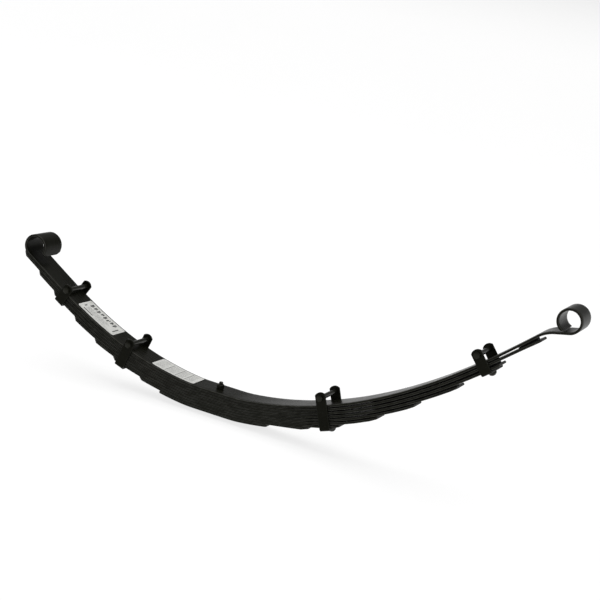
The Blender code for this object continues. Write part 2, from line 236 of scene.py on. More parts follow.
def leaf_depth(index, x):
    """Depth of leaf `index`'s upper face below the main leaf's upper face."""
    gap = daylight(x)
    if index == 1 and x > PINCH_START:
        gap += (PINCHED_GAP - gap) * smooth((x - PINCH_START) / (SPREAD_START - PINCH_START))
        gap += REAR_SPREAD * (max(x - SPREAD_START, 0) / (REAR_TIPS[1] - SPREAD_START)) ** 3
    return index * (LEAF_THICK + gap)


def clip_frame(x):
    up = face_normal(x)
    matrix = Matrix((Vector((up.z, 0, -up.x)), (0, 1, 0), up)).transposed().to_4x4()
    matrix.translation = face_point(x)
    return matrix


# ---------------------------------------------------------------- meshes

def finish_mesh(name, shape, material, body=None, stands_for=()):
    """Object from a bmesh, with outward normals, smooth shading and its place in the frame."""
    bmesh.ops.recalc_face_normals(shape, faces=shape.faces)
    mesh = bpy.data.meshes.new(name)
    shape.to_mesh(mesh)
    shape.free()
    piece = bpy.data.objects.new(name, mesh)
    bpy.context.collection.objects.link(piece)
    mesh.materials.append(material)
    mesh.shade_smooth()
    mesh.set_sharp_from_angle(angle=SHADE_ANGLE)
    if body:
        settle(piece, body, stands_for)
    return piece


def settle(piece, body, stands_for=()):
    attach(piece, body)
    if stands_for:
        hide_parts(*stands_for)


def wear_highlight_layer(shape):
    return shape.verts.layers.float.get("wear_highlight") or shape.verts.layers.float.new("wear_highlight")


def loft(rings, wear_highlights):
    """Closed solid through rings of points, with each point's share of wear and painted edge highlight, and
    UVs that run along and around.
    """
    shape = bmesh.new()
    layer = wear_highlight_layer(shape)
    rows = []
    for ring, wear_highlight in zip(rings, wear_highlights):
        row = []
        for point, worn_highlight in zip(ring, wear_highlight):
            vert = shape.verts.new(point)
            vert[layer] = worn_highlight
            row.append(vert)
        rows.append(row)
    uv = shape.loops.layers.uv.new("along")
    count = len(rows[0])
    run = 0.0
    for i in range(len(rows) - 1):
        row, following = rows[i], rows[i + 1]
        middle = sum((v.co for v in row), Vector()) / count
        middle_next = sum((v.co for v in following), Vector()) / count
        run_next = run + (middle_next - middle).length
        around = 0.0
        for side in range(count):
            other = (side + 1) % count
            around_next = around + (row[other].co - row[side].co).length
            face = shape.faces.new((row[side], row[other], following[other], following[side]))
            corners = ((run, around), (run, around_next), (run_next, around_next), (run_next, around))
            for loop, corner in zip(face.loops, corners):
                loop[uv].uv = corner
            around = around_next
        run = run_next
    for cap in (rows[0], rows[-1]):
        face = shape.faces.new(cap)
        for loop in face.loops:
            loop[uv].uv = (loop.vert.co.z, loop.vert.co.y)
    return shape


def lathe(profile, wear_highlights=None, sides=ROUND_SIDES):
    """Solid turned about Z through (radius, height) points; a profile off the axis closes on itself."""
    solid = profile[0][0] == 0
    wear_highlights = wear_highlights or [0.0] * len(profile)
    shape = bmesh.new()
    layer = wear_highlight_layer(shape)
    columns = []
    for i in range(sides):
        angle = 2 * math.pi * i / sides
        column = []
        for (radius, height), worn_highlight in zip(profile, wear_highlights):
            vert = shape.verts.new((radius * math.cos(angle), radius * math.sin(angle), height))
            vert[layer] = worn_highlight
            column.append(vert)
        columns.append(column)
    steps = len(profile) - 1 if solid else len(profile)
    for column, following in zip(columns, columns[1:] + columns[:1]):
        for i in range(steps):
            j = (i + 1) % len(profile)
            shape.faces.new((column[i], following[i], following[j], column[j]))
    bmesh.ops.remove_doubles(shape, verts=shape.verts, dist=1e-7)
    return shape


def cutter(name, shape):
    bmesh.ops.recalc_face_normals(shape, faces=shape.faces)
    mesh = bpy.data.meshes.new(name)
    shape.to_mesh(mesh)
    shape.free()
    tool = bpy.data.objects.new(name, mesh)
    bpy.context.collection.objects.link(tool)
    return tool


def carve(piece, shape, operation="DIFFERENCE"):
    """Boolean with a closed shape, applied at once."""
    tool = cutter(piece.name + "_tool", shape)
    step = piece.modifiers.new("carve", "BOOLEAN")
    step.operation = operation
    step.object = tool
    graph = bpy.context.evaluated_depsgraph_get()
    made = bpy.data.meshes.new_from_object(piece.evaluated_get(graph), preserve_all_data_layers=True,
                                           depsgraph=graph)
    piece.modifiers.remove(step)
    piece.data = made
    while len(made.materials) > 1:
        made.materials.pop()
    made.shade_smooth()
    made.set_sharp_from_angle(angle=SHADE_ANGLE)
    bpy.data.objects.remove(tool)
    return piece


def rounded_outline(half_a, half_b, radius, flats_a, arc=5):
    """Points round a rounded rectangle, (a, b, wear and highlight): the corners wear first and take the
    painted edge highlight.
    """
    points = []
    for corner in range(4):
        sign_a = 1 if corner in (0, 3) else -1
        sign_b = 1 if corner in (0, 1) else -1
        centre = (sign_a * (half_a - radius), sign_b * (half_b - radius))
        for i in range(arc + 1):
            angle = math.pi / 2 * (corner + i / arc)
            worn_highlight = math.sin(math.pi * i / arc) ** 0.7 if 0 < i < arc else 0.0
            points.append((centre[0] + radius * math.cos(angle), centre[1] + radius * math.sin(angle), worn_highlight))
        if corner in (0, 2):
            start = points[-1][0]
            end = -start
            for i in range(1, flats_a):
                points.append((start + (end - start) * i / flats_a, points[-1][1], 0.0))
    return points


# ---------------------------------------------------------------- materials

class Nodes:
    """Short hand for building a material's node tree."""

    def __init__(self, name):
        self.material = bpy.data.materials.new(name)
        self.material.use_nodes = True
        self.tree = self.material.node_tree
        self.shader = self.tree.nodes["Principled BSDF"]

    def add(self, kind, **values):
        node = self.tree.nodes.new("ShaderNode" + kind)
        for key, value in values.items():
            setattr(node, key, value)
        return node

    def link(self, source, target):
        self.tree.links.new(source, target)

    def coordinates(self, uv_map=None, scale=(1, 1, 1), shift=(0, 0, 0)):
        if uv_map:
            source = self.add("UVMap", uv_map=uv_map).outputs["UV"]
        else:
            source = self.add("TexCoord").outputs["Object"]
        mapping = self.add("Mapping")
        mapping.inputs["Scale"].default_value = scale
        mapping.inputs["Location"].default_value = shift
        self.link(source, mapping.inputs["Vector"])
        return mapping.outputs["Vector"]

    def noise(self, vector, scale, detail=3.0, roughness=0.55):
        node = self.add("TexNoise")
        node.inputs["Scale"].default_value = scale
        node.inputs["Detail"].default_value = detail
        node.inputs["Roughness"].default_value = roughness
        self.link(vector, node.inputs["Vector"])
        return node.outputs["Fac"]

    def ramp(self, source, low, high, out_low=0.0, out_high=1.0):
        node = self.add("MapRange", interpolation_type="SMOOTHSTEP")
        node.inputs["From Min"].default_value = low
        node.inputs["From Max"].default_value = high
        node.inputs["To Min"].default_value = out_low
        node.inputs["To Max"].default_value = out_high
        self.link(source, node.inputs["Value"])
        return node.outputs["Result"]

    def math(self, operation, first, second):
        node = self.add("Math", operation=operation)
        for socket, value in zip(node.inputs, (first, second)):
            if isinstance(value, (int, float)):
                socket.default_value = value
            else:
                self.link(value, socket)
        return node.outputs["Value"]

    def mix(self, share, first, second):
        node = self.add("Mix", data_type="RGBA")
        for socket, value in ((node.inputs[0], share), (node.inputs[6], first), (node.inputs[7], second)):
            if isinstance(value, tuple):
                socket.default_value = (*value, 1)
            elif isinstance(value, float):
                socket.default_value = value
            else:
                self.link(value, socket)
        return node.outputs[2]

    def bump(self, height, distance, strength=1.0, after=None):
        node = self.add("Bump")
        node.inputs["Distance"].default_value = distance
        node.inputs["Strength"].default_value = strength
        self.link(height, node.inputs["Height"])
        if after:
            self.link(after, node.inputs["Normal"])
        return node.outputs["Normal"]


def paint(name, uv_map=None, shift=0.0, roughness=(0.22, 0.34), base=PAINT, wear_highlight_share=0.75, gloss=0.045):
    """Black dip paint: orange peel, thin spots, dust, and a lighter colour along the edges that is partly
    primer showing through wear, partly a painted highlight on the rounded edges.
    """
    n = Nodes(name)
    even = n.coordinates(uv_map, shift=(shift, shift * 0.7, shift * 1.3))
    streaks = n.coordinates(uv_map, scale=(1, 9, 9), shift=(shift, 0, 0))
    patches = n.noise(even, 14, detail=4)
    cloudy = n.noise(even, 55, detail=3)
    grain = n.noise(even, 900, detail=2)
    peel = n.noise(even, 260, detail=2)
    drawn = n.noise(streaks, 22, detail=4)
    specks = n.ramp(n.noise(even, 420, detail=1), 0.68, 0.74)

    colour = n.mix(n.ramp(patches, 0.35, 0.68), base, PAINT_THIN)
    colour = n.mix(n.math("MULTIPLY", n.ramp(drawn, 0.45, 0.75), 0.2), colour, PAINT_DUST)
    colour = n.mix(n.math("MULTIPLY", specks, 0.35), colour, PAINT_SPECK)
    # Edges and tips lighter: partly worn paint, partly a painted highlight along the rounded edges, at least
    # at half strength wherever the mask is set
    wear_highlight = n.add("Attribute", attribute_name="wear_highlight").outputs["Fac"]
    rubbed_highlight = n.math("MULTIPLY", wear_highlight, n.ramp(cloudy, 0.35, 0.65, 0.5, 1.0))
    rubbed_highlight = n.math("MULTIPLY", rubbed_highlight, wear_highlight_share)
    colour = n.mix(rubbed_highlight, colour, PAINT_WORN_HIGHLIGHT)
    n.link(colour, n.shader.inputs["Base Color"])

    low, high = roughness
    rough = n.ramp(n.math("ADD", n.math("MULTIPLY", patches, 0.6), n.math("MULTIPLY", drawn, 0.4)),
                   0.3, 0.7, low, high)
    n.link(rough, n.shader.inputs["Roughness"])
    n.shader.inputs["Specular IOR Level"].default_value = gloss
    n.shader.inputs["Specular Tint"].default_value = (*PAINT_SHEEN_TINT, 1)
    normal = n.bump(peel, 0.00002)
    normal = n.bump(grain, 0.000006, after=normal)
    n.link(normal, n.shader.inputs["Normal"])
    return n.material


def rubber(name):
    """Matte black rubber with fine grain and pale dust in it."""
    n = Nodes(name)
    even = n.coordinates()
    dust = n.ramp(n.noise(even, 120, detail=4), 0.5, 0.72)
    n.link(n.mix(n.math("MULTIPLY", dust, 0.5), RUBBER, RUBBER_DUST), n.shader.inputs["Base Color"])
    n.link(n.ramp(n.noise(even, 40), 0.3, 0.7, 0.62, 0.85), n.shader.inputs["Roughness"])
    n.shader.inputs["Specular IOR Level"].default_value = 0.2
    n.link(n.bump(n.noise(even, 700, detail=2), 0.00008), n.shader.inputs["Normal"])
    return n.material


def film(name, base, roughness, uv_map=None):
    """Printed plastic film: faint mottling, scuffs and a soft waviness from the paint under it."""
    n = Nodes(name)
    even = n.coordinates(uv_map)
    cloudy = n.noise(even, 60, detail=4)
    scuffs = n.ramp(n.noise(n.coordinates(uv_map, scale=(1, 12, 12)), 90, detail=3), 0.6, 0.75)
    colour = n.mix(n.ramp(cloudy, 0.3, 0.7), base, tuple(c * 0.9 for c in base))
    colour = n.mix(n.math("MULTIPLY", scuffs, 0.25), colour, tuple(c * 0.72 for c in base))
    n.link(colour, n.shader.inputs["Base Color"])
    n.link(n.ramp(cloudy, 0.3, 0.7, roughness, roughness + 0.14), n.shader.inputs["Roughness"])
    n.link(n.bump(cloudy, 0.00008), n.shader.inputs["Normal"])
    return n.material


# ---------------------------------------------------------------- leaves

LEAF_OUTLINE = rounded_outline(HALF, LEAF_THICK / 2, EDGE_ROUND, 8)


def leaf_section(upper, lower, half_width, squeeze=1.0):
    """Ring of points between an upper and a lower point, half_width wide each way; squeeze thins a tip."""
    middle = (upper + lower) / 2
    rise = (upper - lower) / LEAF_THICK
    narrower = HALF - half_width
    ring = []
    for across, height, _ in LEAF_OUTLINE:
        y = math.copysign(abs(across) - narrower, across) if abs(across) > narrower else 0.0
        if abs(across) < HALF - EDGE_ROUND:
            y = across * (half_width - EDGE_ROUND) / (HALF - EDGE_ROUND)
        ring.append(middle + rise * height * squeeze + Vector((0, y, 0)))
    return ring


def section_wear_highlight(tip=0.0):
    return [max(worn_highlight, tip) for _, _, worn_highlight in LEAF_OUTLINE]


def turned(centre, radius, angle):
    return centre + radius * Vector((math.cos(angle), 0, math.sin(angle)))


def tip_stages(length, width):
    """Sections towards a cropped tip: distance left to the tip, narrowing, thickness share, and share of wear
    and painted highlight.
    """
    shares = ((1.0, 0.0, 1.0, 0.1), (0.84, 0.14, 1.0, 0.2), (0.16, 0.84, 1.0, 0.3), (0.05, 0.97, 0.96, 0.7),
              (0.0, 1.0, 0.70, 0.8))
    return [(length * left, width * narrowing, squeeze, worn_highlight) for left, narrowing, squeeze, worn_highlight in shares]


def front_eye():
    """Rings of the upturned eye, from its curled end to where it joins the leaf's line, and that X."""
    inner = EYE_RADIUS - LEAF_THICK
    up = face_normal(-FRONT_STRAIGHT - STRAIGHT_EASE)
    start_x = FRONT_EYE_X - up.x * inner
    centre = face_point(start_x) + up * inner
    first = math.atan2(-up.z, -up.x) + 2 * math.pi
    rings, wear_highlights = [], []

    def ring(middle, angle, opening, half_width=HALF, squeeze=1.0, worn_highlight=0.0):
        rings.append(leaf_section(turned(middle, inner + opening, angle),
                                  turned(middle, EYE_RADIUS + opening, angle), half_width, squeeze))
        wear_highlights.append(section_wear_highlight(worn_highlight))

    lip_way = turned(Vector(), 1, FRONT_LIP_ANGLE - math.pi / 2)
    for gone, inset, squeeze, worn_highlight in tip_stages(FRONT_LIP_CROP, TIP_CROP)[::-1]:
        middle = centre + lip_way * (FRONT_LIP - gone)
        ring(middle, FRONT_LIP_ANGLE, FRONT_OPENING, HALF - inset, squeeze, worn_highlight)
    count = math.ceil((first - FRONT_LIP_ANGLE) / EYE_STEP)
    for angle in np.linspace(FRONT_LIP_ANGLE, first, count + 1).tolist():
        share = (FRONT_OPENING_START - angle) / (FRONT_OPENING_START - FRONT_LIP_ANGLE)
        ring(centre, angle, FRONT_OPENING * smooth(share))
    return rings, wear_highlights, start_x


def rear_eye():
    """Rings of the reverse bend, the neck and the eye, up to the curl's scarfed end."""
    up = face_normal(REAR_BEND_X)
    first = math.atan2(up.z, up.x)
    pivot = face_point(REAR_BEND_X) - up * (LEAF_THICK + REAR_BEND_RADIUS)
    last = NECK_ANGLE + math.pi / 2
    rings = []
    for angle in np.linspace(first, last, 14):
        rings.append(leaf_section(turned(pivot, REAR_BEND_RADIUS + LEAF_THICK, angle),
                                  turned(pivot, REAR_BEND_RADIUS, angle), HALF))
    inner = EYE_RADIUS - LEAF_THICK
    neck = Vector((math.cos(NECK_ANGLE), 0, math.sin(NECK_ANGLE)))
    up = turned(Vector(), 1, last)
    neck_start = turned(pivot, REAR_BEND_RADIUS, last)
    for share in (0.33, 0.67):
        lower = neck_start + neck * NECK_LENGTH * share
        rings.append(leaf_section(lower + up * LEAF_THICK, lower, HALF))
    centre = neck_start + neck * NECK_LENGTH + up * EYE_RADIUS
    begin = NECK_ANGLE - math.pi / 2
    count = math.ceil((REAR_CURL_END - begin) / EYE_STEP)
    for angle in np.linspace(begin, REAR_CURL_END, count + 1):
        rings.append(leaf_section(turned(centre, inner, angle), turned(centre, EYE_RADIUS, angle), HALF))
    for share in (0.5, 1.0):
        lower_angle = REAR_CURL_END + share * math.radians(2)
        scarf = REAR_CURL_END + REAR_CURL_SCARF * share
        rings.append(leaf_section(turned(centre, inner, scarf), turned(centre, EYE_RADIUS, lower_angle), HALF,
                                  0.9 if share == 1.0 else 1.0))
    wear_highlights = [section_wear_highlight() for _ in rings]
    wear_highlights[-1] = section_wear_highlight(0.8)
    return rings, wear_highlights


def leaf_half(index, front):
    """Rings of one half of a leaf, from X = 0 outwards."""
    side = -1 if front else 1
    if index == 0:
        eye_rings, eye_wear_highlights, end = front_eye() if front else (*rear_eye(), REAR_BEND_X)
        places = [(x, HALF, 1.0, 0.0) for x in leaf_places(abs(end) - STATION_STEP / 2)]
    else:
        tip = abs((FRONT_TIPS if front else REAR_TIPS)[index])
        eye_rings, eye_wear_highlights = [], []
        crop = BOTTOM_TIP_CROP if index == len(LEAF_NAMES) - 1 else TIP_CROP
        places = [(x, HALF, 1.0, 0.0) for x in leaf_places(tip - crop - STATION_STEP / 2)]
        stages = tip_stages(crop, crop)
        places += [(tip - gone, HALF - inset, squeeze, worn_highlight) for gone, inset, squeeze, worn_highlight in stages]
    rings, wear_highlights = [], []
    for reach, half_width, squeeze, worn_highlight in places:
        x = side * reach
        upper = face_point(x) - face_normal(x) * leaf_depth(index, x)
        rings.append(leaf_section(upper, upper - face_normal(x) * LEAF_THICK, half_width, squeeze))
        wear_highlights.append(section_wear_highlight(worn_highlight))
    if front:
        eye_rings, eye_wear_highlights = eye_rings[::-1], eye_wear_highlights[::-1]
    return rings + eye_rings, wear_highlights + eye_wear_highlights


def leaf_places(reach):
    """Stations from the middle outwards, with the flat seat in one stretch."""
    outward = np.arange(SEAT_HALF, reach, STATION_STEP)
    return [0.0, SEAT_HALF / 2] + [float(x) for x in outward]


def bend_with(piece):
    """Bakes the piece's placement into its mesh."""
    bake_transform(piece)


def build_leaves():
    for index, name in enumerate(LEAF_NAMES):
        material = paint(name + "_paint", "along", shift=index * 1.7)
        for front in (True, False):
            rings, wear_highlights = leaf_half(index, front)
            half = finish_mesh(f"{name}_{'front' if front else 'rear'}", loft(rings, wear_highlights), material)
            bend_with(half)
            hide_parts(name)


def build_pad(name, index, start, end, material):
    """Rubber liner or pad lying on leaf `index`, as thick as the gap above it, its ends rounded off; the
    liners fill the gaps with painted shade.
    """
    rings = []
    for x in np.linspace(start, end, 28):
        down = -face_normal(x)
        high = leaf_depth(index - 1, x) + LEAF_THICK + TOUCH_GAP
        low = leaf_depth(index, x) - TOUCH_GAP
        middle = face_point(x) + down * (high + low) / 2
        near_end = min(x - start, end - x) / (end - start)
        bulge = 0.92 + 0.08 * smooth(near_end * 12)
        thick = (low - high) * bulge
        outline = rounded_outline(PAD_WIDTH / 2 * bulge, thick / 2, min(0.0009, thick * 0.4), 6, arc=4)
        rings.append([middle + Vector((0, across, 0)) - down * height for across, height, _ in outline])
    pad = finish_mesh(name + "_body", loft(rings, [[0.0] * len(rings[0])] * len(rings)), material)
    bend_with(pad)
    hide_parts(name)


# ---------------------------------------------------------------- clips and fasteners

def hexagon_body(name, across, low, high, material, crown, bore=0.0, across_frame=None):
    """Hexagonal head or nut whose corners are turned off by cones, as on the real ones."""
    corner = across / 2 / math.cos(math.pi / 6)
    rings = []
    for height in (low, high):
        rings.append([Vector((corner * math.cos(math.pi / 3 * i), corner * math.sin(math.pi / 3 * i), height))
                      for i in range(6)])
    piece = finish_mesh(name, loft(rings, [[0.3] * 6] * 2), material)
    flat = across / 2 * 0.96
    drop = (corner - flat) * math.tan(math.radians(30))
    margin = 0.0004
    cone = [(0, low - margin if crown != "both" else low), (flat, low - margin if crown != "both" else low)]
    if crown == "both":
        cone += [(corner, low + drop), (corner + margin, low + drop + margin / 2)]
    else:
        cone += [(corner + margin, low - margin)]
    cone += [(corner + margin, high - drop - margin / 2), (corner, high - drop), (flat, high), (0, high)]
    carve(piece, lathe(cone, sides=72), "INTERSECT")
    if bore:
        below, above = low - margin, high + margin
        carve(piece, lathe([(0, below), (bore, below), (bore, above), (0, above)], sides=48))
    if across_frame is not None:
        piece.data.transform(across_frame)
    return piece


def thread(low, high, radius, pitch, end_chamfer):
    """Profile of a threaded stretch from low to high: ridges, then a chamfered end."""
    depth = pitch * 0.5
    count = int((high - end_chamfer - low) / pitch)
    profile = [(radius - depth, low)]
    for i in range(count):
        foot = low + pitch * i
        profile += [(radius - depth * 0.9, foot + pitch * 0.12), (radius, foot + pitch * 0.44),
                    (radius, foot + pitch * 0.56), (radius - depth * 0.9, foot + pitch * 0.88)]
    profile += [(radius - depth * 0.5, high - end_chamfer), (radius - depth * 1.3, high - end_chamfer * 0.15),
                (radius - depth * 1.8, high), (0, high)]
    return profile


def build_centre_bolt(material):
    end = TOP + BOLT_ABOVE
    chamfer = 0.0011
    dimple, edge = 0.0004, 0.0003
    profile = [(0, dimple), (HEAD_RADIUS * 0.35, 0.0), (HEAD_RADIUS - chamfer, 0),
               (HEAD_RADIUS - chamfer * 0.3, chamfer * 0.3), (HEAD_RADIUS, chamfer),
               (HEAD_RADIUS, HEAD_HEIGHT - edge), (HEAD_RADIUS - edge, HEAD_HEIGHT),
               (BOLT_RADIUS, HEAD_HEIGHT), (BOLT_RADIUS, TOP - 0.004)]
    profile += thread(TOP - 0.0035, end, BOLT_RADIUS, BOLT_PITCH, 0.0014)
    wear_highlights = [0.35 if radius > BOLT_RADIUS - 0.0003 else 0.0 for radius, _ in profile]
    finish_mesh("centre_bolt_body", lathe(profile, wear_highlights), material, "leaf_pack", ["centre_bolt"])
    nut = hexagon_body("centre_nut_body", NUT_ACROSS, TOP + TOUCH_GAP, TOP + TOUCH_GAP + NUT_HEIGHT, material,
                       "both", BOLT_RADIUS + FIT / 2)
    settle(nut, "leaf_pack", ["centre_nut"])


STRAP_ARC = 10


def strap_path(depth, ear_height):
    """Middle line of a strap as (side, height, half width): down the near leg, across and up the far one."""
    reach = STRAP_INSIDE + STRAP_THICK / 2
    bend = STRAP_BEND + STRAP_THICK / 2
    low = -depth - STRAP_THICK / 2
    half = STRAP_WIDTH / 2
    path = []
    for angle in np.linspace(math.radians(86), math.acos(half / EAR_RADIUS), 12):
        height = ear_height - EAR_DROP + EAR_RADIUS * math.sin(angle)
        path.append((-reach, height, EAR_RADIUS * math.cos(angle)))
    for share in (0.25, 0.5, 0.75):
        path.append((-reach, ear_height + (low + bend - ear_height) * share, half))
    for angle in np.linspace(math.pi, 1.5 * math.pi, STRAP_ARC):
        path.append((-reach + bend + bend * math.cos(angle), low + bend + bend * math.sin(angle), half))
    for share in (0.35, 0.7):
        path.append(((-reach + bend) * (1 - share), low, half))
    mirrored = [(-y, z, half_width) for y, z, half_width in reversed(path)]
    return path + [(0.0, low, half)] + mirrored


def build_strap(name, depth, ear_height, frame_matrix, material):
    path = strap_path(depth, ear_height)
    points = [Vector((0, y, z)) for y, z, _ in path]
    rings, wear_highlights = [], []
    for i, (_, _, half_width) in enumerate(path):
        before, after = points[max(i - 1, 0)], points[min(i + 1, len(points) - 1)]
        run = (after - before).normalized()
        out = Vector((0, -run.z, run.y))
        radius = min(STRAP_ROUND, half_width * 0.7)
        ring, wear_highlight = [], []
        for along, height, worn_highlight in rounded_outline(half_width, STRAP_THICK / 2, radius, 4, arc=4):
            ring.append(points[i] + Vector((along, 0, 0)) + out * height)
            wear_highlight.append(worn_highlight)
        at_end = i < 2 or i > len(path) - 3
        rings.append(ring)
        wear_highlights.append([max(w, 0.5) for w in wear_highlight] if at_end else wear_highlight)
    shape = loft(rings, wear_highlights)
    piece = finish_mesh(name, shape, material)
    hole = CLIP_BOLT_RADIUS + FIT
    wide = STRAP_INSIDE + STRAP_THICK * 3
    across = Matrix.Translation((0, 0, ear_height)) @ Matrix.Rotation(math.pi / 2, 4, "X")
    drill = lathe([(0, -wide), (hole, -wide), (hole, wide), (0, wide)], sides=32)
    drill.transform(across)
    carve(piece, drill)
    rivet_hole = RIVET_RADIUS + FIT
    low = -depth - STRAP_THICK * 2
    drill = lathe([(0, low), (rivet_hole, low), (rivet_hole, -depth / 2), (0, -depth / 2)], sides=32)
    drill.transform(Matrix.Translation((0, -STRAP_SHIFT, 0)))
    carve(piece, drill)
    piece.data.transform(frame_matrix)
    return piece


def build_clip(name, x, leaves, bolt_height, strap_paint, fastener_paint):
    frame_matrix = clip_frame(x)
    body = name + "_clip"
    half = STRAP_WIDTH / 2
    depth = max(leaf_depth(leaves - 1, x + step) + LEAF_THICK for step in (-half, 0, half))
    depth += TOUCH_GAP + BEND_ROOM
    strap_matrix = frame_matrix @ Matrix.Translation((0, STRAP_SHIFT, 0))
    bolt_place = Matrix.Translation((0, 0, bolt_height))
    across = strap_matrix @ bolt_place @ Matrix.Rotation(math.pi / 2, 4, "X")

    strap = build_strap(name + "_strap", depth, bolt_height, strap_matrix, strap_paint)
    settle(strap, body, [body + "_strap"])

    seat = -depth - STRAP_THICK - TOUCH_GAP
    top = -leaf_depth(leaves - 1, x)
    dome = [(RIVET_HEAD_RADIUS * math.sin(a), seat - RIVET_HEAD_HEIGHT * math.cos(a))
            for a in np.radians(np.linspace(0, 84, 14))]
    profile = dome + [(RIVET_HEAD_RADIUS - 0.0002, seat), (RIVET_RADIUS, seat), (RIVET_RADIUS, top), (0, top)]
    shape = lathe(profile, [0.25] * len(profile))
    shape.transform(frame_matrix)
    finish_mesh(name + "_rivet", shape, fastener_paint, body, [body + "_rivet"])

    outside = STRAP_INSIDE + STRAP_THICK + TOUCH_GAP
    head = hexagon_body(name + "_bolt", CLIP_HEAD_ACROSS, outside, outside + CLIP_HEAD_HEIGHT, fastener_paint,
                        "top")
    nut_end = -outside - CLIP_NUT_HEIGHT
    shank_top = outside + CLIP_HEAD_HEIGHT / 2
    shank = [(CLIP_BOLT_RADIUS, nut_end * 0.86), (CLIP_BOLT_RADIUS, shank_top), (0, shank_top)]
    ridges = thread(-nut_end * 0.86, -nut_end + CLIP_BOLT_END, CLIP_BOLT_RADIUS, CLIP_BOLT_PITCH, 0.001)
    low_part = [(radius, -height) for radius, height in reversed(ridges)]
    carve(head, lathe(low_part + shank, sides=40), "UNION")
    head.data.transform(across)
    settle(head, body, [body + "_bolt"])

    nut = hexagon_body(name + "_nut", CLIP_HEAD_ACROSS, nut_end, -outside, fastener_paint, "both",
                       CLIP_BOLT_RADIUS + FIT / 2, across)
    settle(nut, body, [body + "_nut"])

    bore, end, lip = CLIP_BOLT_RADIUS + FIT, STRAP_INSIDE - TOUCH_GAP, 0.0005
    outer = SPACER_RADIUS
    tube = [(bore, -end), (outer - lip, -end), (outer, -end + lip)]
    tube += [(outer, y) for y in np.linspace(-end * 0.8, end * 0.8, 9)]
    tube += [(outer, end - lip), (outer - lip, end), (bore, end)]
    shape = lathe(tube, [0.3 if abs(y) > end * 0.9 else 0.0 for _, y in tube], sides=40)
    shape.transform(across)
    finish_mesh(name + "_spacer", shape, fastener_paint, body, [body + "_spacer"])


# ---------------------------------------------------------------- stickers

# Where each sticker starts and ends along the spring
DATA_STICKER = (-0.382, -0.279)
RATING_STICKER = (-0.167, -0.055)
STICKER_WIDTH = 0.058
STICKER_THICK = 0.0003
STICKER_CORNER = 0.003
PRINT_LIFT = 0.00004


class Label:
    """A sticker on the main leaf: places on it are given along (0 to length) and across (0 to width)."""

    def __init__(self, start, end):
        self.start, self.length = start, end - start

    def point(self, along, across, lift):
        x = self.start + along
        side = Vector((0, across - STICKER_WIDTH / 2, 0))
        return face_point(x) + face_normal(x) * (TOUCH_GAP + lift) + side

    def body(self, name, material):
        rows = []
        for along in np.linspace(0, self.length, 34):
            inset = 0.0
            near_end = min(along, self.length - along)
            if near_end < STICKER_CORNER:
                gone = STICKER_CORNER - near_end
                inset = STICKER_CORNER - math.sqrt(STICKER_CORNER ** 2 - gone ** 2)
            low, high = inset, STICKER_WIDTH - inset
            rows.append([self.point(along, low, 0), self.point(along, high, 0),
                         self.point(along, high, STICKER_THICK), self.point(along, low, STICKER_THICK)])
        return finish_mesh(name, loft(rows, [[0.0] * 4] * len(rows)), material)

    def marks(self, name, rectangles, material):
        """Thin printed patches, one closed body each, that follow the leaf's curve."""
        shape = bmesh.new()
        for along, across, length, width in rectangles:
            steps = max(1, math.ceil(length / 0.006))
            rows = []
            for place in np.linspace(along, along + length, steps + 1):
                corners = [(across, -PRINT_LIFT), (across + width, -PRINT_LIFT), (across + width, PRINT_LIFT),
                           (across, PRINT_LIFT)]
                rows.append([shape.verts.new(self.point(place, side, STICKER_THICK + lift))
                             for side, lift in corners])
            for row, following in zip(rows, rows[1:]):
                for i in range(4):
                    j = (i + 1) % 4
                    shape.faces.new((row[i], row[j], following[j], following[i]))
            shape.faces.new(rows[0])
            shape.faces.new(rows[-1])
        return finish_mesh(name, shape, material)


def dashes(rng, along, across, length, rows, pitch, height, longest, crosswise=False):
    """Rows of short marks of chance length, like unreadable small print."""
    made = []
    for row in range(rows):
        place = 0.0
        stop = length * rng.uniform(0.7, 1.0)
        while place < stop:
            size = rng.uniform(0.25, 1.0) * longest
            size = min(size, stop - place)
            if crosswise:
                made.append((along + row * pitch, across + place, height, size))
            else:
                made.append((along + place, across + row * pitch, size, height))
            place += size + height
    return made


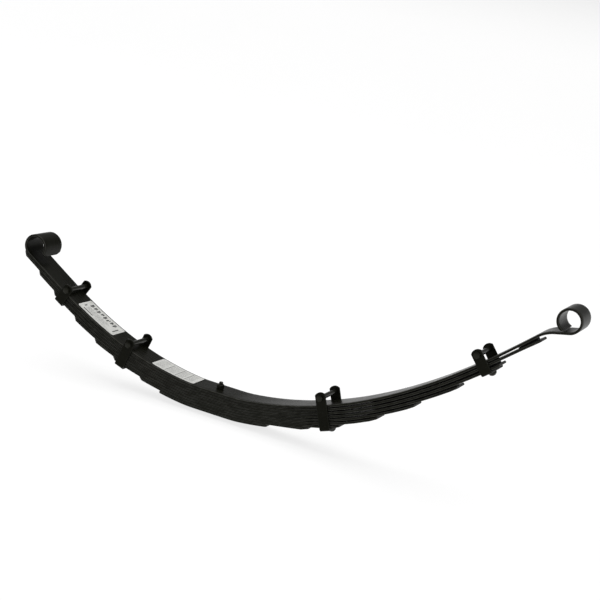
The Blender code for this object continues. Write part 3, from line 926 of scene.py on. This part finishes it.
def build_stickers():
    film_material = film("label_film", LABEL_FILM, 0.42)
    ink = film("label_ink", LABEL_INK, 0.5)
    grey_ink = film("label_grey_ink", LABEL_GREY_INK, 0.5)
    rng = random.Random(7)

    data = Label(*DATA_STICKER)
    bold = []
    for i, (across, width) in enumerate(((0.035, 0.0155), (0.037, 0.0120), (0.035, 0.0145), (0.040, 0.0100),
                                         (0.035, 0.0155), (0.035, 0.0110), (0.038, 0.0125), (0.035, 0.0140))):
        bold.append((0.012 + 0.0095 * i, across, 0.0036, width))
        bold.append((0.016 + 0.0095 * i, 0.053 - width, 0.0022, width * 0.7))
    bold += [(0.006, 0.019, 0.0030, 0.010), (0.012, 0.0075, 0.026, 0.0032), (0.0925, 0.013, 0.0030, 0.026)]
    fine = dashes(rng, 0.014, 0.0135, 0.072, 6, 0.0031, 0.0013, 0.010)
    fine += dashes(rng, 0.044, 0.0070, 0.040, 2, 0.0028, 0.0011, 0.008)
    fine += [(0.004, 0.004, 0.095, 0.0005), (0.004, 0.0535, 0.095, 0.0005),
             (0.004, 0.004, 0.0005, 0.050), (0.0985, 0.004, 0.0005, 0.050)]

    rating = Label(*RATING_STICKER)
    columns = [(0.006, 0.024), (0.036, 0.022), (0.064, 0.018), (0.088, 0.018)]
    table = []
    for along, length in columns:
        table += dashes(rng, along, 0.006, length, 15, 0.0031, 0.0012, 0.006)
    rules = [(along - 0.0035, 0.004, 0.0014, 0.050) for along, _ in columns[1:]]

    data_marks = (("bold", bold, ink), ("fine", fine, grey_ink))
    rating_marks = (("table", table, grey_ink), ("rules", rules, ink))
    for label, name, marks in ((data, "data_sticker", data_marks), (rating, "rating_sticker", rating_marks)):
        pieces = [label.body(name + "_film", film_material)]
        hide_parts(name)
        for kind, rectangles, material in marks:
            pieces.append(label.marks(f"{name}_{kind}", rectangles, material))
        for piece in pieces:
            bend_with(piece)


# ---------------------------------------------------------------- stage, lights and camera

def build_stage():
    """Pale, softly glowing floor, a far wall that darkens upwards, an even sky and two broad lamps."""
    floor = Nodes("floor_paper")
    even = floor.coordinates()
    tone = floor.noise(even, 1.3, detail=2)
    height = floor.add("SeparateXYZ")
    floor.link(even, height.inputs["Vector"])
    rise = floor.ramp(height.outputs["Z"], WALL_SHADE_FROM, WALL_SHADE_TO)
    paper = floor.mix(floor.ramp(tone, 0.3, 0.7), FLOOR, tuple(c * 0.985 for c in FLOOR))
    wall = tuple(c * WALL_SHADE for c in FLOOR)
    floor.link(floor.mix(rise, paper, wall), floor.shader.inputs["Base Color"])
    glow = floor.mix(rise, (1.0, 1.0, 1.0), (WALL_SHADE, WALL_SHADE, WALL_SHADE))
    floor.link(glow, floor.shader.inputs["Emission Color"])
    floor.shader.inputs["Emission Strength"].default_value = FLOOR_GLOW
    floor.shader.inputs["Roughness"].default_value = 0.9
    floor.shader.inputs["Specular IOR Level"].default_value = 0.0
    shape = bmesh.new()
    rows = []
    profile = [(FLOOR_NEAR_END, 0.0), (FLOOR_FAR_END, 0.0)]
    for angle in np.radians(np.linspace(5, 90, 18)):
        profile.append((FLOOR_FAR_END + WALL_BEND * math.sin(angle), WALL_BEND * (1 - math.cos(angle))))
    profile.append((FLOOR_FAR_END + WALL_BEND, WALL_TOP))
    for y, z in profile:
        rows.append([shape.verts.new((x, y, z)) for x in (-FLOOR_HALF_WIDTH, FLOOR_HALF_WIDTH)])
    for row, following in zip(rows, rows[1:]):
        shape.faces.new((row[0], row[1], following[1], following[0]))
    stage = finish_mesh("stage_floor", shape, floor.material)

    # Standard keeps the pale floor near white and the paint as dark as it is
    bpy.context.scene.view_settings.view_transform = "Standard"
    world = bpy.data.worlds.new("studio")
    bpy.context.scene.world = world
    world.use_nodes = True
    sky = world.node_tree.nodes["Background"]
    sky.inputs["Color"].default_value = (1, 1, 1, 1)
    sky.inputs["Strength"].default_value = SKY

    for name, direction, strength, angle in LAMPS:
        data = bpy.data.lights.new(name, "SUN")
        data.energy = strength
        data.angle = math.radians(angle)
        lamp = bpy.data.objects.new(name, data)
        lamp.rotation_mode = "QUATERNION"
        lamp.rotation_quaternion = Vector(direction).to_track_quat("Z", "Y")
        bpy.context.collection.objects.link(lamp)


def build_camera():
    """Camera at the viewing angle, turned about its own axis as well."""
    forward = Vector((-math.sin(VIEW_YAW) * math.cos(VIEW_PITCH), math.cos(VIEW_YAW) * math.cos(VIEW_PITCH),
                      -math.sin(VIEW_PITCH)))
    level = forward.cross(Vector((0, 0, 1))).normalized()
    upright = level.cross(forward)
    right = math.cos(VIEW_ROLL) * level + math.sin(VIEW_ROLL) * upright
    up = math.cos(VIEW_ROLL) * upright - math.sin(VIEW_ROLL) * level
    data = bpy.data.cameras.new("camera")
    data.lens = VIEW_LENS
    data.shift_x, data.shift_y = VIEW_SHIFT
    camera = bpy.data.objects.new("camera", data)
    matrix = Matrix((right, up, -forward)).transposed().to_4x4()
    matrix.translation = Vector(VIEW_TARGET) - forward * VIEW_DISTANCE
    camera.matrix_world = matrix
    bpy.context.collection.objects.link(camera)
    bpy.context.scene.camera = camera


def main():
    build_camera()
    build_stage()
    build_leaves()
    pad_rubber = rubber("pad_rubber")
    # The liners are dark sheets that fill the gaps between the rear leaves with painted shade
    for pad in PADS:
        build_pad(*pad, pad_rubber)
    fastener_paint = paint("fastener_paint", shift=3.1, roughness=(0.20, 0.32), wear_highlight_share=0.4, gloss=0.18)
    strap_paint = paint("strap_paint", shift=5.3, roughness=(0.28, 0.40), wear_highlight_share=0.3)
    build_centre_bolt(fastener_paint)
    for clip in CLIPS:
        build_clip(*clip, strap_paint, fastener_paint)
    build_stickers()


main()
